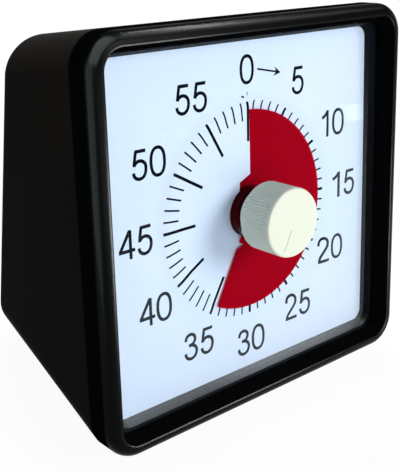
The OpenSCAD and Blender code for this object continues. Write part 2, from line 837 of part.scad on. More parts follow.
// A conical spring would flatten under the cell: here a plain coil of the same length
module contact_spring() {
  sides = 6;
  rings = spring_turns * 20;
  pitch = (spring_l - 2 * spring_wire) / spring_turns;
  points = [
    for (i = [0:rings], k = [0:sides - 1])
      let (
        a = 360 * spring_turns * i / rings,
        b = 360 * k / sides,
        r = spring_r + spring_wire * cos(b)
      )
      [pitch * spring_turns * i / rings + spring_wire * sin(b), r * cos(a), r * sin(a)]
  ];
  walls = [
    for (i = [0:rings - 1], k = [0:sides - 1])
      let (p = i * sides + k, q = i * sides + (k + 1) % sides)
      each [[p, q, q + sides], [p, q + sides, p + sides]]
  ];
  caps = [
    for (k = [1:sides - 2]) each [
      [0, k + 1, k],
      [rings * sides, rings * sides + k, rings * sides + k + 1]
    ]
  ];
  color([0.8, 0.8, 0.82]) at_case() translate([-tray_w / 2 + 0.6 + spring_wire, cell_y, door_z]) {
    polyhedron(points = points, faces = concat(walls, caps), convexity = 8);
    translate([-spring_wire - 0.05 - contact_t, -contact_w / 2, -contact_w / 2])
      cube([contact_t, contact_w, contact_w]);
  }
}

module battery_cell() {
  tip = 1;
  tip_r = 2.7;
  end_x = tray_w / 2 - contact_t - 0.15 - tip;
  color([0.35, 0.4, 0.45]) at_case() translate([end_x, cell_y, door_z]) rotate([0, -90, 0]) {
    cylinder(h = cell_l, r = cell_d / 2);
    translate([0, 0, -tip]) cylinder(h = tip + 0.1, r = tip_r);
  }
}

grip_pitch = 1.4;

module battery_door() {
  color([0.05, 0.048, 0.048]) at_case() translate([0, 0, door_z]) {
    difference() {
      slab(rear_y - door_t, door_t) door_outline(0);
      slab(rear_y - 0.7, 1) for (i = [-2:2])
        translate([0, door_h / 2 - 5 + i * grip_pitch]) square([14, 0.6], center = true);
    }
  }
}

module buzzer() {
  color([0.1, 0.1, 0.1]) at_case() translate([buzzer_x, 0, buzzer_z]) difference() {
    bar(rear_y - wall - slip - buzzer_t, buzzer_t, buzzer_r);
    bar(rear_y - wall - 1.4, 2, buzzer_r - 1.6);
  }
}

module switch_body() {
  color([0.7, 0.7, 0.7]) at_case() translate([-switch_x, 0, switch_z]) difference() {
    slab(rear_y - wall - slip - switch_d, switch_d) square([switch_l, switch_h], center = true);
    slab(rear_y - wall - stem_l - slip, 4) square([stem_w + switch_travel + 0.8, 3.2], center = true);
  }
}

module sound_switch() {
  color([0.75, 0.76, 0.74]) at_case()
    translate([-switch_x - switch_travel / 2, 0, switch_z]) {
      slab(rear_y - wall - stem_l, stem_l + 0.1) square([stem_w, 2.4], center = true);
      slab(rear_y - wall + 0.05, wall - 0.35) square([cap_w, cap_h], center = true);
    }
}

front_bezel();
lens();
lens_retainer();
dial_plate();
rear_case();
rubber_feet();
time_disc();
disc_hub();
knob();
knob_collar();
spindle();
chassis_plate();
chassis_screws();
case_screws();
movement_base();
movement_cover();
movement_screws();
drive_gear();
intermediate_gear();
rotor_gear();
rotor_magnet();
gear_arbors();
stator();
coil_bobbin();
coil_winding();
circuit_board();
quartz_crystal();
clock_chip();
battery_tray();
contact_plate();
contact_spring();
battery_cell();
battery_door();
buzzer();
switch_body();
sound_switch();
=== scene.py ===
# %% [markdown]
# # A visual countdown timer, dressed in Blender
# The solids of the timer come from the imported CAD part: the case, the bezel, the lens, the dial,
# the red disc and the knob. This lesson gives each of them its finish, prints the dial, and
# sets the light and the camera. Every length is in metres, in the frame of the part.

# %% Load the part
import json
import math

import bmesh
import bpy
from mathutils import Matrix, Quaternion, Vector


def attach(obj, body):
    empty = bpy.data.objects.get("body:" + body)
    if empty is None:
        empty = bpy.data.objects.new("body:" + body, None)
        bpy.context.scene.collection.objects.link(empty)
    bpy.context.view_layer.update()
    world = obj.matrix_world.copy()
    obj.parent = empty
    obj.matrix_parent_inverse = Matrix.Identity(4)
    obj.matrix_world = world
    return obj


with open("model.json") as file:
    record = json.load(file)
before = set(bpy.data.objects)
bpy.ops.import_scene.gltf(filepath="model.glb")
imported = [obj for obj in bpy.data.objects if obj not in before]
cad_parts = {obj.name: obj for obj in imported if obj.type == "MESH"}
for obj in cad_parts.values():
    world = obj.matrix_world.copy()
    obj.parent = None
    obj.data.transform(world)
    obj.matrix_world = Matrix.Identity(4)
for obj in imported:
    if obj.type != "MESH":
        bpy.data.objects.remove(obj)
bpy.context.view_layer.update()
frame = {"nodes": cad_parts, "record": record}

nodes = frame["nodes"]
mm = 0.001
print("nodes:", len(nodes))

# %% [markdown]
# ## The face frame
# The dial leans back, so the print on it is easier to draw in a frame of its own: X to the
# right, Y into the timer, Z up the dial, with the origin in the middle of the dial. The knob's
# hinge gives both: it stands on the middle of the dial, and its axis points into the timer.

# %% Face frame from the knob's hinge
knob_hinge = next(j for j in frame["record"]["behaviour"]["joints"] if j["name"] == "knob_turn")
right = Vector((1, 0, 0))
into_face = Vector(knob_hinge["axis"]).normalized()
up_face = right.cross(into_face)
face_to_row = Matrix.Translation(knob_hinge["pos_m"]) @ Matrix(
    (right, into_face, up_face)).transposed().to_4x4()
print("lean of the face, degrees:", round(math.degrees(math.asin(-into_face.z)), 2))


def on_face(x, y, z):
    """A point given in millimetres in the face frame, in the row frame in metres."""
    return face_to_row @ Vector((x * mm, y * mm, z * mm))


dial_middle = on_face(0, 0, 0)

# %% [markdown]
# ## Shader groups
# Two effects return on many pieces, so each is a node group. A group could be wired by hand in
# the editor. Here two short helpers do it, and every later cell uses them to add its nodes.

# %% Helpers for groups and nodes
FLOAT, COLOR = "NodeSocketFloat", "NodeSocketColor"


def new_group(name, inputs, outputs):
    """A shader group with float or colour sockets. Each input is (name, kind, value)."""
    group = bpy.data.node_groups.new(name, "ShaderNodeTree")
    for label, kind, value in inputs:
        socket = group.interface.new_socket(label, in_out="INPUT", socket_type=kind)
        socket.default_value = value
    for label, kind in outputs:
        group.interface.new_socket(label, in_out="OUTPUT", socket_type=kind)
    return group, group.nodes.new("NodeGroupInput"), group.nodes.new("NodeGroupOutput")


def add(tree, kind, links=(), **values):
    """A node with some of its properties set, and its sockets linked or set by name."""
    node = tree.nodes.new(kind)
    for key, value in values.items():
        setattr(node, key, value)
    for label, source in links:
        socket = node.inputs[label]
        if isinstance(source, bpy.types.NodeSocket):
            tree.links.new(source, socket)
        else:
            socket.default_value = source
    return node


# %% [markdown]
# ## Moulded grain
# A mould leaves a fine orange-peel on plastic. The group puts out a height for a Bump node and a
# roughness that changes slowly over the piece, both from noise in the piece's own coordinates.

# %% Moulded grain
grain, g_in, g_out = new_group(
    "Moulded grain",
    [("Scale", FLOAT, 1500.0), ("Roughness", FLOAT, 0.4), ("Spread", FLOAT, 0.06)],
    [("Height", FLOAT), ("Roughness", FLOAT)])
coords = add(grain, "ShaderNodeTexCoord")
fine = add(grain, "ShaderNodeTexNoise", [
    ("Vector", coords.outputs["Object"]), ("Scale", g_in.outputs["Scale"]),
    ("Detail", 3.0), ("Roughness", 0.6)])
slow = add(grain, "ShaderNodeTexNoise", [
    ("Vector", coords.outputs["Object"]), ("Scale", 38.0), ("Detail", 4.0)])
centred = add(grain, "ShaderNodeMath", [(0, slow.outputs["Fac"]), (1, 0.5)], operation="SUBTRACT")
swing = add(grain, "ShaderNodeMath", [
    (0, centred.outputs[0]), (1, g_in.outputs["Spread"]), (2, g_in.outputs["Roughness"])],
    operation="MULTIPLY_ADD")
grain.links.new(fine.outputs["Fac"], g_out.inputs["Height"])
grain.links.new(swing.outputs[0], g_out.inputs["Roughness"])
print("nodes of the grain:", len(grain.nodes))

# %% [markdown]
# ## Handling tint
# Dust and fingers shift a colour a little from place to place, and most along the edges. Noise
# gives the patches and the mesh's pointiness gives the edges. Their sum mixes the base colour
# with the worn one.

# %% Handling tint
tint, t_in, t_out = new_group(
    "Handling tint",
    [("Base", COLOR, (0.5, 0.5, 0.5, 1)), ("Worn", COLOR, (0.6, 0.6, 0.6, 1)),
     ("Patches", FLOAT, 0.3), ("Edges", FLOAT, 0.3)],
    [("Color", COLOR)])
coords = add(tint, "ShaderNodeTexCoord")
patches = add(tint, "ShaderNodeTexNoise", [
    ("Vector", coords.outputs["Object"]), ("Scale", 24.0), ("Detail", 5.0)])
patch_mask = add(tint, "ShaderNodeMapRange", [
    ("Value", patches.outputs["Fac"]), ("From Min", 0.45), ("From Max", 0.75),
    ("To Max", t_in.outputs["Patches"])])
shape = add(tint, "ShaderNodeNewGeometry")
edge_mask = add(tint, "ShaderNodeMapRange", [
    ("Value", shape.outputs["Pointiness"]), ("From Min", 0.52), ("From Max", 0.62),
    ("To Max", t_in.outputs["Edges"])])
both = add(tint, "ShaderNodeMath", [
    (0, patch_mask.outputs["Result"]), (1, edge_mask.outputs["Result"])],
    operation="ADD", use_clamp=True)
mixed = add(tint, "ShaderNodeMix", data_type="RGBA")
tint.links.new(both.outputs[0], mixed.inputs["Factor"])
tint.links.new(t_in.outputs["Base"], mixed.inputs["A"])
tint.links.new(t_in.outputs["Worn"], mixed.inputs["B"])
tint.links.new(mixed.outputs["Result"], t_out.inputs["Color"])
print("groups:", [g.name for g in bpy.data.node_groups])

# %% [markdown]
# ## Plastics and metals
# Nearly every piece is moulded plastic or plain metal. One recipe covers them: a Principled
# shader whose base colour comes through "Handling tint" and whose roughness and bump come
# through "Moulded grain". What is the same all over a piece is set on the shader itself. A Bevel
# node can soften how light meets an edge, without a change of the mesh.

# %% One recipe for moulded and metal pieces
def hexa(code):
    """A colour written as six hexadecimal digits, as the linear colour that Blender mixes."""
    parts = [int(code[i:i + 2], 16) / 255 for i in (0, 2, 4)]
    linear = [p / 12.92 if p <= 0.04045 else ((p + 0.055) / 1.055) ** 2.4 for p in parts]
    return (*linear, 1.0)


def socket_name(word):
    """The name of the Principled shader's socket for a word such as specular_ior_level."""
    return word.replace("_", " ").title().replace("Ior", "IOR")


def finish(name, base, worn=None, rough=0.4, spread=0.06, scale=1500, bump=0.05, depth=0.02,
           patches=0.25, edges=0.3, round_off=0.0, **plain):
    """A moulded or metal finish. depth and round_off are in millimetres. round_off softens how
    light meets the edges, and extra values go to the Principled shader's own sockets."""
    mat = bpy.data.materials.new(name)
    mat.use_nodes = True
    tree = mat.node_tree
    shader = tree.nodes["Principled BSDF"]
    colour = add(tree, "ShaderNodeGroup", node_tree=tint)
    for label, value in (("Base", hexa(base)), ("Worn", hexa(worn or base)),
                         ("Patches", patches), ("Edges", edges)):
        colour.inputs[label].default_value = value
    surface = add(tree, "ShaderNodeGroup", node_tree=grain)
    for label, value in (("Scale", scale), ("Roughness", rough), ("Spread", spread)):
        surface.inputs[label].default_value = value
    relief = add(tree, "ShaderNodeBump", [
        ("Height", surface.outputs["Height"]), ("Strength", bump), ("Distance", depth * mm)])
    if round_off:
        softened = add(tree, "ShaderNodeBevel", [("Radius", round_off * mm)], samples=6)
        tree.links.new(softened.outputs["Normal"], relief.inputs["Normal"])
    tree.links.new(colour.outputs["Color"], shader.inputs["Base Color"])
    tree.links.new(surface.outputs["Roughness"], shader.inputs["Roughness"])
    tree.links.new(relief.outputs["Normal"], shader.inputs["Normal"])
    for word, value in plain.items():
        shader.inputs[socket_name(word)].default_value = value
    return mat


# %% [markdown]
# ## The finishes
# Each finish is named for the record's slot that it fills. The black plastics reflect very
# little, because the real ones are nearly black from every side.

# %% Finishes by slot
finishes = {
    "bezel_black": finish("Bezel black", "060708", "0b0c0d", rough=0.24, spread=0.04,
                          scale=420, bump=0.02, round_off=0.6),
    "retainer_black": finish("Retainer black", "0c0f12", "161a1e", rough=0.5, scale=900,
                             bump=0.3, depth=0.03, specular_ior_level=0.04),
    "case_black": finish("Rear satin black", "0f0e0d", "1c1a18", rough=0.45, scale=1900,
                         bump=0.3, depth=0.04, round_off=1.6, specular_ior_level=0.002),
    "dial_white": finish("Dial sheet", "dcedff", "e5f1fe", rough=0.35, scale=800, bump=0.02,
                         patches=0.6, edges=0.0, specular_ior_level=0.04),
    # The hub is the disc's red, darkened to a painted shade for the shade it lies in under the
    # knob and behind the lens.
    "hub_red": finish("Hub red with painted shade", "440006", "560208", rough=0.35, specular_ior_level=0.05),
    "knob_white": finish("Knob white", "dee6d8", "e0e6da", scale=900, bump=0.0, patches=0.4,
                         edges=0.15, specular_ior_level=0.3),
    "collar_white": finish("Collar white", "d8d6cc", "e2e0d6", rough=0.3,
                           specular_ior_level=0.3),
    "foot_rubber": finish("Foot rubber", "141414", "262626", rough=0.85, bump=0.4, scale=2400,
                          specular_ior_level=0.2),
    "chassis_grey": finish("Chassis grey", "c9c9c4", "b9b9b2", rough=0.5, bump=0.2),
    "movement_white": finish("Movement white", "e0e0dc", "d2d2cc", rough=0.45, bump=0.15),
    "gear_acetal": finish("Gear acetal", "e6e2d2", "d8d4c4", bump=0.1),
    "chip_black": finish("Chip black", "131313", "262626", rough=0.6, bump=0.3),
    "board_green": finish("Board green", "17563a", "1f6a48", rough=0.35, bump=0.1),
    "cell_sleeve": finish("Cell sleeve", "4d565f", "6a737c", rough=0.28),
    "switch_grey": finish("Switch grey", "a2a4a2", "b4b6b3", rough=0.45, bump=0.2),
    "buzzer_black": finish("Buzzer black", "101010", "222222", rough=0.55, bump=0.2,
                           specular_ior_level=0.2),
    "magnet_grey": finish("Magnet ferrite", "3a3a3d", "55555a", rough=0.6, bump=0.4),
    "winding_copper": finish("Copper winding", "b0622c", "8a4218", rough=0.3, scale=2600,
                             bump=0.6, metallic=1.0),
    "spindle_steel": finish("Turned steel", "b9babd", "8f9094", rough=0.28, metallic=1.0),
    "lamination": finish("Stamped lamination", "8e8f93", "77787c", rough=0.42, metallic=1.0),
    "contact_steel": finish("Nickel contact", "c8c8c6", "a4a4a0", rough=0.2, metallic=1.0),
    "screw_steel": finish("Zinc screw", "b4b5b8", "93959a", rough=0.3, metallic=1.0),
    "screw_black": finish("Black screw", "222224", "47474a", rough=0.38, metallic=1.0),
}
dial_ink = finish("Dial ink", "02060e", "060c18", rough=0.5, bump=0.0, specular_ior_level=0.02)
print("finishes:", len(finishes))

# %% [markdown]
# ## The bezel's two looks
# The rounded crest of the bezel has a faint gloss, and its outer and inner walls are dead matt.
# Two materials would leave a hard line between them, so one mask fades the gloss instead. The
# outer wall is found by its normal, which doesn't point to the front at all, and the inner wall
# by a normal that points back to the middle of the face.

# %% Gloss on the crest, none on the walls
CREST_GLOSS = 0.03


def from_dial_middle(tree):
    """The geometry node of a tree, and a point's offset from the middle of the dial."""
    shape = add(tree, "ShaderNodeNewGeometry")
    offset = add(tree, "ShaderNodeVectorMath", [
        (0, shape.outputs["Position"]), (1, dial_middle)], operation="SUBTRACT")
    return shape, offset.outputs["Vector"]


tree = finishes["bezel_black"].node_tree
shape, offset = from_dial_middle(tree)
outward = add(tree, "ShaderNodeVectorMath", [(0, offset)], operation="NORMALIZE")
facing = add(tree, "ShaderNodeVectorMath", [
    (0, outward.outputs["Vector"]), (1, shape.outputs["Normal"])], operation="DOT_PRODUCT")
not_inner = add(tree, "ShaderNodeMapRange", [
    ("Value", facing.outputs["Value"]), ("From Min", -0.4), ("From Max", -0.1),
    ("To Min", 0.0), ("To Max", CREST_GLOSS)])
forward = add(tree, "ShaderNodeVectorMath", [
    (0, shape.outputs["Normal"]), (1, -into_face)], operation="DOT_PRODUCT")
not_outer = add(tree, "ShaderNodeMapRange", [
    ("Value", forward.outputs["Value"]), ("From Min", 0.05), ("From Max", 0.3)])
gloss = add(tree, "ShaderNodeMath", [
    (0, not_inner.outputs["Result"]), (1, not_outer.outputs["Result"])], operation="MULTIPLY")
tree.links.new(gloss.outputs[0], tree.nodes["Principled BSDF"].inputs["Specular IOR Level"])
print("nodes of the bezel's finish:", len(tree.nodes))

# %% [markdown]
# ## The red disc
# The disc is a sheet of dyed film. It is red paint and red filter at once: most light comes
# back from it, and a little passes, takes its colour and shows the minute marks behind it. A mix
# of a Principled shader and a red Transparent shader says both in plain numbers. The film has a
# front and a back face, and light for the marks crosses both of them on the way in and out.

# %% Red film
CLEAR_SHARE = 0.7
film = finish("Disc red film", "e0002d", "d00024", rough=0.3, scale=700, bump=0.02, patches=0.5,
              edges=0.0, specular_ior_level=0.01)
tree = film.node_tree
filter_red = add(tree, "ShaderNodeBsdfTransparent", [("Color", (0.74, 0.0, 0.015, 1))])
blend = add(tree, "ShaderNodeMixShader", [
    (0, CLEAR_SHARE), (1, tree.nodes["Principled BSDF"].outputs[0]), (2, filter_red.outputs[0])])
tree.links.new(blend.outputs[0], tree.nodes["Material Output"].inputs["Surface"])
finishes["disc_red"] = film
print("share of the film that lets light pass:", CLEAR_SHARE)

# %% [markdown]
# ## The lens
# A clear acrylic sheet covers the dial. It is glass to the eye, so it shows reflections and a
# bright edge. To lamps and to soft light it is open air, by Light Path's Is Shadow Ray and Is
# Diffuse Ray: real light passes such a sheet nearly whole, but a path tracer would need far
# more samples to find that out.

# %% Clear acrylic
acrylic = finish("Lens clear acrylic", "f6f9ff", rough=0.02, spread=0.01, scale=160, bump=0.01,
                 depth=0.01, patches=0.0, edges=0.0, transmission_weight=1.0,
                 specular_tint=(0.75, 0.95, 1.0, 1.0))
tree = acrylic.node_tree
path = add(tree, "ShaderNodeLightPath")
open_air = add(tree, "ShaderNodeBsdfTransparent", [("Color", (0.97, 0.98, 1.0, 1))])
soft_or_shadow = add(tree, "ShaderNodeMath", [
    (0, path.outputs["Is Shadow Ray"]), (1, path.outputs["Is Diffuse Ray"])],
    operation="MAXIMUM")
let_lamps = add(tree, "ShaderNodeMixShader", [
    (0, soft_or_shadow.outputs[0]), (1, tree.nodes["Principled BSDF"].outputs[0]),
    (2, open_air.outputs[0])])
tree.links.new(let_lamps.outputs[0], tree.nodes["Material Output"].inputs["Surface"])
finishes["lens_clear"] = acrylic
print("nodes of the lens's finish:", len(tree.nodes))

# %% [markdown]
# ## What the lens mirrors
# The lower right of the real lens mirrors a white table top, which greys the numerals there, and
# its upper left mirrors a dark room. The scene has no dark room, so the index of refraction does
# this part: it is low where little is mirrored and rises towards the lower right. Over the disc
# it stays low, which keeps the red deep.

# %% Index of the lens, by place
LOWEST_INDEX, INDEX_RISE = 1.04, 0.28
RISE_START, RISE_END = -50 * mm, 18 * mm
RING_INNER, RING_OUTER = 34 * mm, 44 * mm
down_right = 0.35 * right - up_face
_, offset = from_dial_middle(tree)
along_rise = add(tree, "ShaderNodeVectorMath", [(0, offset), (1, down_right)],
                 operation="DOT_PRODUCT")
rise = add(tree, "ShaderNodeMapRange", [
    ("Value", along_rise.outputs["Value"]), ("From Min", RISE_START), ("From Max", RISE_END),
    ("To Min", 0.0), ("To Max", INDEX_RISE)], interpolation_type="SMOOTHSTEP")
radius = add(tree, "ShaderNodeVectorMath", [(0, offset)], operation="LENGTH")
outside_disc = add(tree, "ShaderNodeMapRange", [
    ("Value", radius.outputs["Value"]), ("From Min", RING_INNER), ("From Max", RING_OUTER)],
    interpolation_type="SMOOTHSTEP")
index = add(tree, "ShaderNodeMath", [
    (0, rise.outputs["Result"]), (1, outside_disc.outputs["Result"]), (2, LOWEST_INDEX)],
    operation="MULTIPLY_ADD")
tree.links.new(index.outputs[0], tree.nodes["Principled BSDF"].inputs["IOR"])
print("highest index of the lens:", round(LOWEST_INDEX + INDEX_RISE, 2))

# %% [markdown]
# ## Dress the solids
# The record names a slot for each CAD node, so a loop can hand out the finishes.

# %% Each CAD node takes the finish of its slot
for part in frame["record"]["subparts"]:
    node = nodes[part["node"]]
    node.data.materials.clear()
    node.data.materials.append(finishes[part["material_slot"]])

# %% [markdown]
# ## The print on the dial
# The minute marks and the numerals are ink, a film that is much thinner than the sheet. An image
# texture could carry them. Here each mark is a real solid that stands a few hundredths of a
# millimetre proud, so that it stays sharp in every view. The middle of the dial climbs like a
# spiral stair, from the slot at 0 round to the slot again, so that the disc can pass through it,
# and each mark has to follow that climb.

# %% Shape of the dial's surface, in millimetres
TURN_RISE = 2.4
FORM_R, FORM_OUT_R, BLEND_BANDS = 36.6, 42.0, 6
FLAT_R, EDGE_R = FORM_OUT_R + 0.4, 99.0


def ease(t):
    """A smooth step from 0 to 1."""
    return t * t * (3 - 2 * t)


FORMED = [(FORM_R + (FORM_OUT_R - FORM_R) * k / BLEND_BANDS, ease(1 - k / BLEND_BANDS))
          for k in range(BLEND_BANDS)]
FORMED = [(0.0, 1.0)] + FORMED + [(FLAT_R, 0.0), (EDGE_R, 0.0)]


def share_at(radius):
    """The part of the climb that the sheet has at this radius, between 1 and 0."""
    for (r0, s0), (r1, s1) in zip(FORMED, FORMED[1:]):
        if radius <= r1:
            return s0 + (s1 - s0) * (radius - r0) / (r1 - r0)
    return 0.0


def dial_y(x, z):
    """Depth of the dial's front surface under a point of the face."""
    turn = (math.atan2(x, z) / (2 * math.pi)) % 1.0
    return -TURN_RISE * (turn - 0.5) * share_at(math.hypot(x, z))


print("stations of the climb:", len(FORMED))

# %% [markdown]
# ## Ink as thin solids
# A mark is the strip between a left and a right line of points, given a thickness. The same
# faces serve a mark, a stroke of a figure and the arrow.

# %% Ink solids
INK_T = 0.06
INK_SINK = 0.03


def band_faces(count, closed=False):
    """Faces, turned outward, of a thin solid between two lines of count points each. Its points
    come in four runs: front left, front right, back left and back right."""
    faces, last = [], count - 1
    for i in range(last):
        a, b, c, d = i, count + i, 2 * count + i, 3 * count + i
        faces += [(a, b, b + 1, a + 1), (c, c + 1, d + 1, d),
                  (a, a + 1, c + 1, c), (b, d, d + 1, b + 1)]
    if not closed:
        faces += [(0, 2 * count, 3 * count, count),
                  (last, count + last, 3 * count + last, 2 * count + last)]
    return faces


def ink_band(left_line, right_line):
    """Points and faces of ink on the dial between two lines of (x, z) points."""
    points = [on_face(x, dial_y(x, z) - lift, z) for lift in (INK_T, -INK_SINK)
              for line in (left_line, right_line) for x, z in line]
    return points, band_faces(len(left_line))


def print_on_dial(name, bands):
    """One mesh of many thin solids of ink, on the case like the dial."""
    points, faces = [], []
    for band_points, band_corners in bands:
        faces += [tuple(i + len(points) for i in f) for f in band_corners]
        points += band_points
    mesh = bpy.data.meshes.new(name)
    mesh.from_pydata([tuple(p) for p in points], [], faces)
    mesh.validate()
    piece = bpy.data.objects.new(name, mesh)
    bpy.context.scene.collection.objects.link(piece)
    mesh.materials.append(dial_ink)
    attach(piece, "case")


# %% [markdown]
# ## Minute marks
# Sixty marks end on one circle. Each fifth one is longer and wider. The mark for 0 stands just
# left of the slot, because the slot itself takes its place, and a small dash stands over it.

# %% Minute marks
MARK_END = 38.7
SHORT_START, SHORT_W = 32.5, 0.62
LONG_START, LONG_W = 25.0, 1.05
SLOT_GAP = 0.36
DASH, DASH_HALF = [(-2.9, 40.55), (-2.3, 40.45), (-1.75, 40.25)], 0.3
STATIONS = [radius for radius, _ in FORMED if FORM_R <= radius < MARK_END]


def mark(angle, start, width, shift=0.0):
    """A straight mark along a radius, as wide at both ends."""
    out = Vector((math.sin(angle), math.cos(angle)))
    side = Vector((out.y, -out.x))
    left_line, right_line = [], []
    for radius in [start, (start + FORM_R) / 2] + STATIONS + [MARK_END]:
        middle = out * radius + side * shift
        left_line.append(tuple(middle - side * width / 2))
        right_line.append(tuple(middle + side * width / 2))
    return ink_band(left_line, right_line)


marks = [mark(0, LONG_START, LONG_W, shift=-LONG_W / 2 - SLOT_GAP)]
for minute in range(1, 60):
    long_one = minute % 5 == 0
    marks.append(mark(math.radians(6 * minute), LONG_START if long_one else SHORT_START,
                      LONG_W if long_one else SHORT_W))
marks.append(ink_band([(x, z + DASH_HALF) for x, z in DASH],
                      [(x, z - DASH_HALF) for x, z in DASH]))
print_on_dial("dial_minute_marks", marks)
print("minute marks:", len(marks))

# %% [markdown]
# ## Numerals
# The numerals are plain grotesque figures of even weight, 10 mm tall. A font would bring its
# own letter shapes, so each figure is drawn as strokes: a middle line that a smooth curve passes
# through, given a width. A line that ends where it starts is a ring.

# %% Figures as middle lines, in millimetres from the figure's lower left corner
STROKE = 1.14
ZERO_X, ZERO_Z, ZERO_HALF_W, ZERO_HALF_H = 3.2, 5.0, 2.7, 4.52
ZERO_SQUARENESS, ZERO_STEPS = 0.86, 48


def squarer(value):
    """A sine or cosine pushed outward, which makes a ring a little squarer than an ellipse."""
    return math.copysign(abs(value) ** ZERO_SQUARENESS, value)


zero_ring = [(ZERO_X + ZERO_HALF_W * squarer(math.sin(turn)),
              ZERO_Z + ZERO_HALF_H * squarer(math.cos(turn)))
             for turn in [2 * math.pi * i / ZERO_STEPS for i in range(ZERO_STEPS)]]
FIGURES = {
    "1": ([(4.7, 0.0), (4.7, 10.0)], [(4.55, 9.55), (3.75, 8.5), (2.75, 7.8), (1.7, 7.35)]),
    "2": ([(0.85, 6.9), (1.1, 8.25), (1.95, 9.2), (3.3, 9.52), (4.65, 9.2), (5.5, 8.2),
           (5.55, 7.0), (5.05, 5.8), (3.9, 4.5), (2.5, 3.2), (1.3, 1.9), (0.8, 0.6)],
          [(0.25, 0.49), (6.15, 0.49)]),
    "3": ([(0.95, 7.4), (1.3, 8.6), (2.1, 9.3), (3.15, 9.52), (4.4, 9.15), (5.05, 8.2),
           (5.05, 7.1), (4.45, 6.1), (3.4, 5.65), (2.35, 5.58)],
          [(2.35, 5.55), (3.6, 5.45), (4.9, 4.85), (5.65, 3.75), (5.65, 2.5), (5.1, 1.3),
           (4.2, 0.68), (3.05, 0.48), (1.9, 0.85), (1.1, 1.7), (0.78, 2.9)]),
    "4": ([(4.85, 0.0), (4.85, 9.6)], [(0.3, 2.85), (6.6, 2.85)], [(4.75, 9.5), (0.75, 3.0)]),
    "5": ([(1.55, 9.4), (5.75, 9.4)], [(1.95, 9.6), (1.1, 4.75)],
          [(1.15, 4.9), (1.95, 5.85), (3.15, 6.28), (4.6, 5.95), (5.55, 4.85), (5.72, 3.35),
           (5.35, 1.9), (4.45, 0.85), (3.1, 0.48), (1.9, 0.85), (1.1, 1.65), (0.8, 2.75)]),
    "0": (zero_ring + zero_ring[:1],),
}


def is_ring(points):
    """Whether a line ends where it starts."""
    return points[0] == points[-1]


def smooth_line(points, steps=5):
    """A Catmull-Rom curve through the points. A straight line or a ring stays as it is."""
    if len(points) == 2 or is_ring(points):
        return [Vector(p) for p in points]
    padded = [points[0]] + list(points) + [points[-1]]
    line = []
    for p0, p1, p2, p3 in zip(padded, padded[1:], padded[2:], padded[3:]):
        p0, p1, p2, p3 = map(Vector, (p0, p1, p2, p3))
        for i in range(steps):
            t = i / steps
            line.append(0.5 * ((2 * p1) + (p2 - p0) * t + (2 * p0 - 5 * p1 + 4 * p2 - p3) * t * t
                               + (3 * p1 - p0 - 3 * p2 + p3) * t ** 3))
    return line + [Vector(points[-1])]


def sides_of(line, width, closed):
    """The two lines that run at half the width on either side of a middle line."""
    left_line, right_line = [], []
    for i, p in enumerate(line):
        before = line[i - 1] if i else (line[-2] if closed else p)
        after = line[i + 1] if i + 1 < len(line) else (line[1] if closed else p)
        along = (after - before).normalized()
        side = Vector((along.y, -along.x)) * width / 2
        left_line.append(p - side)
        right_line.append(p + side)
    return left_line, right_line


print("strokes:", {name: len(strokes) for name, strokes in FIGURES.items()})

# %% [markdown]
# ## One clean solid for each figure
# The strokes of a figure overlap. Left like that, each figure would be two or three solids in
# one place, so a Boolean union makes them one. Each of the six figures is made only once.

# %% Figures as solids
JOIN_DISTANCE = 1e-4


def stroke_mesh(points):
    """A flat stroke along a middle line, 1 thick."""
    closed = is_ring(points)
    lines = sides_of(smooth_line(points), STROKE, closed)
    corners = [(p.x, y, p.y) for y in (0.0, 1.0) for line in lines for p in line]
    mesh = bpy.data.meshes.new("stroke")
    mesh.from_pydata(corners, [], band_faces(len(lines[0]), closed))
    if closed:
        work = bmesh.new()
        work.from_mesh(mesh)
        bmesh.ops.remove_doubles(work, verts=work.verts, dist=JOIN_DISTANCE)
        work.to_mesh(mesh)
        work.free()
    return mesh


def figure_mesh(strokes):
    """A flat figure, 1 thick, with all its strokes united into one mesh."""
    parts = [bpy.data.objects.new("stroke", stroke_mesh(points)) for points in strokes]
    for part in parts:
        bpy.context.scene.collection.objects.link(part)
    for other in parts[1:]:
        union = parts[0].modifiers.new("union", "BOOLEAN")
        union.operation, union.solver, union.object = "UNION", "EXACT", other
    bpy.context.view_layer.update()
    graph = bpy.context.evaluated_depsgraph_get()
    united = bpy.data.meshes.new_from_object(parts[0].evaluated_get(graph))
    for part in parts:
        bpy.data.objects.remove(part)
    return united


figures = {name: figure_mesh(strokes) for name, strokes in FIGURES.items()}
print("figures:", {name: len(mesh.vertices) for name, mesh in figures.items()})

# %% [markdown]
# ## Numerals round the dial
# Each number is centred on one circle and stands upright, as on the real dial. It lies outside
# the climb, where the sheet is flat.

# %% Numerals round the dial
NUMERAL_R = 49.5
ADVANCE = 7.3
FIGURE_W, FIGURE_H = 6.5, 10.0


def place_figure(name, x, z):
    """Points and faces of a figure whose lower left corner is at (x, z) of the face."""
    mesh = figures[name]
    points = [on_face(x + v.co.x, (INK_SINK + INK_T) * v.co.y - INK_T, z + v.co.z)
              for v in mesh.vertices]
    return points, [tuple(p.vertices) for p in mesh.polygons]


placed = []
for minute in range(0, 60, 5):
    text = str(minute)
    wide = ADVANCE * (len(text) - 1) + FIGURE_W
    angle = math.radians(6 * minute)
    x = NUMERAL_R * math.sin(angle) - wide / 2
    z = NUMERAL_R * math.cos(angle) - FIGURE_H / 2
    placed += [place_figure(figure, x + ADVANCE * i, z) for i, figure in enumerate(text)]
print_on_dial("dial_numerals", placed)
print("figures placed:", len(placed))

# %% [markdown]
# ## Arrow
# A thin arrow runs from the 0 to the 5 and says which way the minutes are counted. Its head is
# notched at the back, so it is made of a left and a right half.

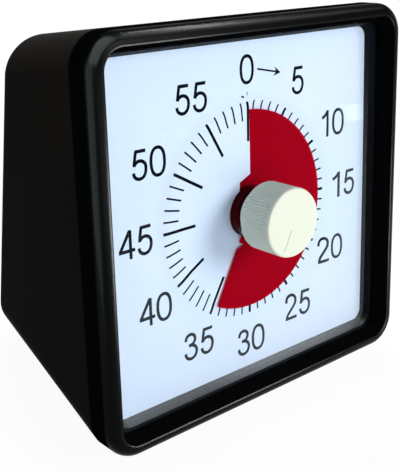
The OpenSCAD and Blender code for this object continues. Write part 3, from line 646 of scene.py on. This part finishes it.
# %% Arrow
TAIL, TIP = Vector((4.9, 49.1)), Vector((16.1, 46.7))
SHAFT_W, HEAD_L, HEAD_W, NOTCH = 0.62, 3.3, 3.3, 1.1
BLUNT = 0.01
along = (TIP - TAIL).normalized()
across = Vector((along.y, -along.x))
notch = TIP - along * (HEAD_L - NOTCH)
shaft_left, shaft_right = [[tuple(p + across * sign * SHAFT_W / 2) for p in (TAIL, notch)]
                           for sign in (-1, 1)]
head_left, head_right = [[tuple(TIP - along * HEAD_L + across * sign * HEAD_W / 2), tuple(TIP)]
                         for sign in (-1, 1)]
head_middle = [tuple(notch), tuple(TIP - along * BLUNT)]
print_on_dial("dial_arrow", [ink_band(shaft_left, shaft_right), ink_band(head_left, head_middle),
                             ink_band(head_middle, head_right)])
print("length of the arrow, mm:", round((TIP - TAIL).length, 1))

# %% [markdown]
# ## Floor
# The timer stands on a pale floor that keeps its faint shadow. To the camera, to gloss and to
# glass the floor turns towards white, which Light Path makes possible without more light on the
# object.

# %% Floor
FLOOR_REACH = 4.0
FLOOR_WHITE_SHARE = 0.95


def straight_rays(tree):
    """The Light Path node of a tree, and a mask of its camera, glossy and transmission rays."""
    path = add(tree, "ShaderNodeLightPath")
    eye_or_gloss = add(tree, "ShaderNodeMath", [
        (0, path.outputs["Is Camera Ray"]), (1, path.outputs["Is Glossy Ray"])],
        operation="MAXIMUM")
    straight = add(tree, "ShaderNodeMath", [
        (0, eye_or_gloss.outputs[0]), (1, path.outputs["Is Transmission Ray"])],
        operation="MAXIMUM")
    return path, straight.outputs[0]


floor_mesh = bpy.data.meshes.new("floor")
floor_mesh.from_pydata([(-FLOOR_REACH, -FLOOR_REACH, 0), (FLOOR_REACH, -FLOOR_REACH, 0),
                        (FLOOR_REACH, FLOOR_REACH, 0), (-FLOOR_REACH, FLOOR_REACH, 0)],
                       [], [(0, 1, 2, 3)])
floor = bpy.data.objects.new("floor", floor_mesh)
bpy.context.scene.collection.objects.link(floor)
paper = bpy.data.materials.new("Studio paper")
paper.use_nodes = True
tree = paper.node_tree
sheet = tree.nodes["Principled BSDF"]
sheet.inputs["Base Color"].default_value = (0.86, 0.86, 0.86, 1)
sheet.inputs["Roughness"].default_value = 0.9
sheet.inputs["Specular IOR Level"].default_value = 0.1
white = add(tree, "ShaderNodeEmission", [("Color", (1, 1, 1, 1)), ("Strength", 1.0)])
_, straight = straight_rays(tree)
seen = add(tree, "ShaderNodeMath", [(0, straight), (1, FLOOR_WHITE_SHARE)], operation="MULTIPLY")
turn_white = add(tree, "ShaderNodeMixShader", [
    (0, seen.outputs[0]), (1, sheet.outputs[0]), (2, white.outputs[0])])
tree.links.new(turn_white.outputs[0], tree.nodes["Material Output"].inputs["Surface"])
floor_mesh.materials.append(paper)
print("floor, m:", 2 * FLOOR_REACH)

# %% [markdown]
# ## World
# The camera sees a white backdrop. Gloss sees it near the horizon and a dim ceiling above, as in
# a room. The soft light that reaches matt pieces is stronger from the right than from the left,
# because the left side of the real timer is in the shade.

# %% World
world = bpy.data.worlds.new("Studio")
bpy.context.scene.world = world
world.use_nodes = True
tree = world.node_tree
path, straight = straight_rays(tree)
direction = add(tree, "ShaderNodeTexCoord")
towards = add(tree, "ShaderNodeSeparateXYZ", [("Vector", direction.outputs["Generated"])])
ceiling = add(tree, "ShaderNodeMapRange", [
    ("Value", towards.outputs["Z"]), ("From Min", 0.02), ("From Max", 0.3),
    ("To Min", 1.0), ("To Max", 0.12)], interpolation_type="SMOOTHSTEP")
level = add(tree, "ShaderNodeMath", [
    (0, ceiling.outputs["Result"]), (1, path.outputs["Is Camera Ray"])], operation="MAXIMUM")
room = add(tree, "ShaderNodeMapRange", [
    ("Value", towards.outputs["X"]), ("From Min", -0.7), ("From Max", 0.7),
    ("To Min", 0.22), ("To Max", 0.5)])
ambient = add(tree, "ShaderNodeBackground", [
    ("Color", (1.0, 0.98, 0.95, 1)), ("Strength", room.outputs["Result"])])
backdrop = add(tree, "ShaderNodeBackground", [
    ("Color", (1, 1, 1, 1)), ("Strength", level.outputs[0])])
chosen = add(tree, "ShaderNodeMixShader", [
    (0, straight), (1, ambient.outputs[0]), (2, backdrop.outputs[0])])
tree.links.new(chosen.outputs[0], tree.nodes["World Output"].inputs["Surface"])
print("nodes of the world:", len(tree.nodes))

# %% [markdown]
# ## Lamps
# A large lamp at the upper right throws the knob's soft shadow to the lower left. A weak one
# from low in front fills the shadows, and one from behind shows the rear. The rear one is kept
# out of reflections, which would draw a bright rim round the black case.

# %% Lamps
def softbox(name, place, aim, size, power, colour=(1, 1, 1)):
    """An area lamp at a place, turned to a point. Lengths are in metres."""
    light = bpy.data.lights.new(name, "AREA")
    light.shape = "RECTANGLE"
    light.size, light.size_y = size
    light.energy, light.color = power, colour
    lamp = bpy.data.objects.new(name, light)
    lamp.location = place
    lamp.rotation_mode = "QUATERNION"
    lamp.rotation_quaternion = (Vector(aim) - Vector(place)).to_track_quat("-Z", "Y")
    lamp.visible_camera = False
    bpy.context.scene.collection.objects.link(lamp)
    return lamp


softbox("key", (0.6, -1.15, 0.82), dial_middle, (0.65, 0.65), 14.0, (1.0, 0.99, 0.96))
softbox("fill", (-0.1, -0.8, 0.08), dial_middle, (0.5, 0.2), 1.2)
back = softbox("back", (0.35, 0.9, 0.6), dial_middle, (0.5, 0.5), 14.0)
back.visible_glossy = False
print("lamps:", len(bpy.data.lights))

# %% [markdown]
# ## Reflections
# Black gloss is drawn by what it mirrors. Each panel is a lamp that lights only the pieces it
# names, by light linking, and shows only in their reflections. It stands where the camera's ray
# goes after it bounces off a rounded edge. The one over the case is the exception: the case is
# too matt to mirror it, so that panel lights it as a lamp does, and lifts its top and left edge.

# %% Panels for reflections
def panel(name, seen_from, towards, away, size, level, pieces, colour=(1, 1, 1),
          lights_matt=False):
    """A panel that only the named pieces mirror. It stands away metres from a point of the face
    frame, in a direction of the row frame. The level is its brightness, where 1 is white."""
    start = on_face(*seen_from)
    place = start + Vector(towards).normalized() * away
    power = level * math.pi * size[0] * size[1]
    lamp = softbox(name, place, start, size, power, colour)
    lamp.visible_diffuse = lights_matt
    group = bpy.data.collections.new(name)
    for piece in pieces:
        group.objects.link(nodes[piece])
    lamp.light_linking.receiver_collection = group


BEZEL, RETAINER, CASE, LENS = ["front_bezel"], ["lens_retainer"], ["rear_case"], ["lens"]
panel("left side", (-70, -8, 20), (-1.0, -0.06, 0.1), 0.13, (0.14, 0.18), 9.0, BEZEL,
      (0.78, 1.0, 0.93))
panel("corner", (-64, -9, 62), (-0.38, -0.2, 0.88), 0.3, (0.5, 0.5), 22.0, BEZEL,
      (0.86, 1.0, 0.97))
panel("top line", (-30, -10, 67), (0.64, 0.10, 0.76), 0.4, (0.22, 0.018), 130.0, BEZEL)
panel("top band", (-30, -11, 66), (0.66, -0.22, 0.72), 0.5, (0.26, 0.22), 6.0, BEZEL,
      (0.9, 0.97, 1.0))
panel("bottom line", (-45, -11, -66), (0.56, -0.82, 0.1), 0.3, (0.14, 0.1), 130.0, BEZEL)
panel("sky", (-45, -3, -60), (0.5, -0.12, 0.85), 0.5, (0.2, 0.3), 500.0, RETAINER,
      (0.95, 0.98, 1.0))
panel("case top", (-67, 30, 64), (-0.1, 0.1, 1.0), 0.12, (0.12, 0.12), 8.0, CASE,
      (1.0, 0.96, 0.88), lights_matt=True)
panel("lens, right", (50.5, -5.2, 28.2), (0.755, -0.656, -0.023), 1.0, (0.022, 0.024), 5.0, LENS)
panel("lens, left", (-36.5, -5.2, 33.8), (0.61, -0.793, -0.008), 1.0, (0.055, 0.012), 50.0, LENS)
print("lamps with the panels:", len(bpy.data.lights))

# %% [markdown]
# ## Camera
# The camera stands where the photographer stood: to the left of the timer, above it, and
# looking down at the dial. Place, turn and focal length come from a fit of the minute marks and
# the outline. The shift stays small, because it is kept in every other view.

# %% Camera
camera_data = bpy.data.cameras.new("camera")
camera = bpy.data.objects.new("camera", camera_data)
bpy.context.scene.collection.objects.link(camera)
bpy.context.scene.camera = camera
camera.location = (-0.2083, -0.20558, 0.21316)
camera.rotation_mode = "QUATERNION"
camera.rotation_quaternion = Quaternion((0.809191, 0.471626, -0.238623, -0.256589))
camera_data.sensor_width = 36.0
camera_data.lens = 68.9
camera_data.shift_x, camera_data.shift_y = -0.014, -0.114
camera_data.clip_start, camera_data.clip_end = 0.01, 50.0
bpy.context.scene.view_settings.view_transform = "Standard"
print("camera to the dial, mm:", round((camera.location - dial_middle).length / mm))
